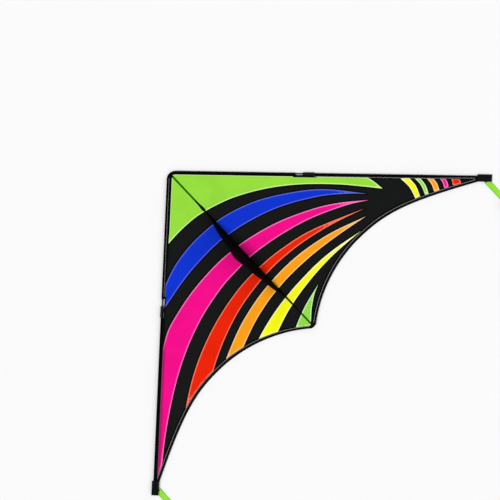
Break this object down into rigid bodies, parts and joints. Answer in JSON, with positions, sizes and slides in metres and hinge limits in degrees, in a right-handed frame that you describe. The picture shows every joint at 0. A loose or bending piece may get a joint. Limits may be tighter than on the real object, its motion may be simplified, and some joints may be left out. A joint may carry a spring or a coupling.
{
  "type": "delta kite",
  "caption": "Single-line delta kite with a striped cloth sail, a rod frame, a fin keel with a tow eyelet, and a ribbon tail on each wing tip.",
  "frame": {"origin": "middle of the whole kite's box, tail rolls included, on the surface that it lies on", "axes": "+X to the right wing tip seen from the keel side with the nose up, +Y to the nose, +Z to the keel side"},
  "size_m": [1.5988, 0.8846, 0.1593],
  "materials": {
    "sail_cloth": "ripstop polyester printed with curved stripes",
    "edge_binding": "plain-weave polyester, folded and stitched",
    "keel_cloth": "ripstop polyester",
    "webbing": "ribbed nylon webbing",
    "ribbon": "light plain-weave polyester ribbon",
    "fibreglass": "black pultruded fibreglass",
    "vinyl": "soft black vinyl",
    "moulded_fitting": "moulded black plastic",
    "eyelet_metal": "brass oxidised black"
  },
  "bodies": {
    "spine": {"spine_rod": "fibreglass", "spine_rod_caps": "vinyl", "spine_sleeve": "edge_binding", "nose_pocket": "webbing", "tail_pocket": "webbing"},
    "left_wing": {"left_sail": "sail_cloth", "left_leading_edge_rod": "fibreglass", "left_leading_edge_rod_caps": "vinyl", "left_leading_edge_sleeve_front": "edge_binding", "left_leading_edge_sleeve_rear": "edge_binding", "left_trailing_edge_hem": "edge_binding", "left_wing_tip_pocket": "webbing", "left_spreader_fitting": "moulded_fitting", "left_tail_loop": "webbing"},
    "right_wing": {"right_sail": "sail_cloth", "right_leading_edge_rod": "fibreglass", "right_leading_edge_rod_caps": "vinyl", "right_leading_edge_sleeve_front": "edge_binding", "right_leading_edge_sleeve_rear": "edge_binding", "right_trailing_edge_hem": "edge_binding", "right_wing_tip_pocket": "webbing", "right_spreader_fitting": "moulded_fitting", "right_tail_loop": "webbing"},
    "spreader": {"spreader_rod": "fibreglass"},
    "keel": {"keel_panel": "keel_cloth", "keel_hem": "keel_cloth", "keel_tow_patch": "webbing", "keel_tow_eyelet": "eyelet_metal"},
    "left_tail": {"left_tail_ribbon": "ribbon"},
    "right_tail": {"right_tail_ribbon": "ribbon"}
  },
  "joints": [
    {"name": "left_wing_fold", "type": "hinge", "parent": "spine", "child": "left_wing", "pos_m": [-0.0045, 0, 0.0105], "axis": [0, -1, 0], "range_deg": [0, 85]},
    {"name": "right_wing_fold", "type": "hinge", "parent": "spine", "child": "right_wing", "pos_m": [0.0045, 0, 0.0105], "axis": [0, 1, 0], "range_deg": [0, 85]},
    {"name": "spreader_release", "type": "slide", "parent": "spine", "child": "spreader", "axis": [0, 0, -1], "range_m": [0, 0.67]},
    {"name": "keel_swing", "type": "hinge", "parent": "spine", "child": "keel", "pos_m": [0, 0, 0.0114], "axis": [0, 1, 0], "range_deg": [-71.3, 98.7]},
    {"name": "left_tail_swing", "type": "hinge", "parent": "left_wing", "child": "left_tail", "pos_m": [-0.771, -0.32175, 0.005], "axis": [0, 0, 1], "range_deg": [-35, 35]},
    {"name": "right_tail_swing", "type": "hinge", "parent": "right_wing", "child": "right_tail", "pos_m": [0.771, -0.32175, 0.005], "axis": [0, 0, 1], "range_deg": [-35, 35]}
  ],
  "couplings": [
    {"joint": "right_wing_fold", "follows": "left_wing_fold", "ratio": 1},
    {"joint": "spreader_release", "follows": "left_wing_fold", "m_per_rad": 0.45}
  ]
}
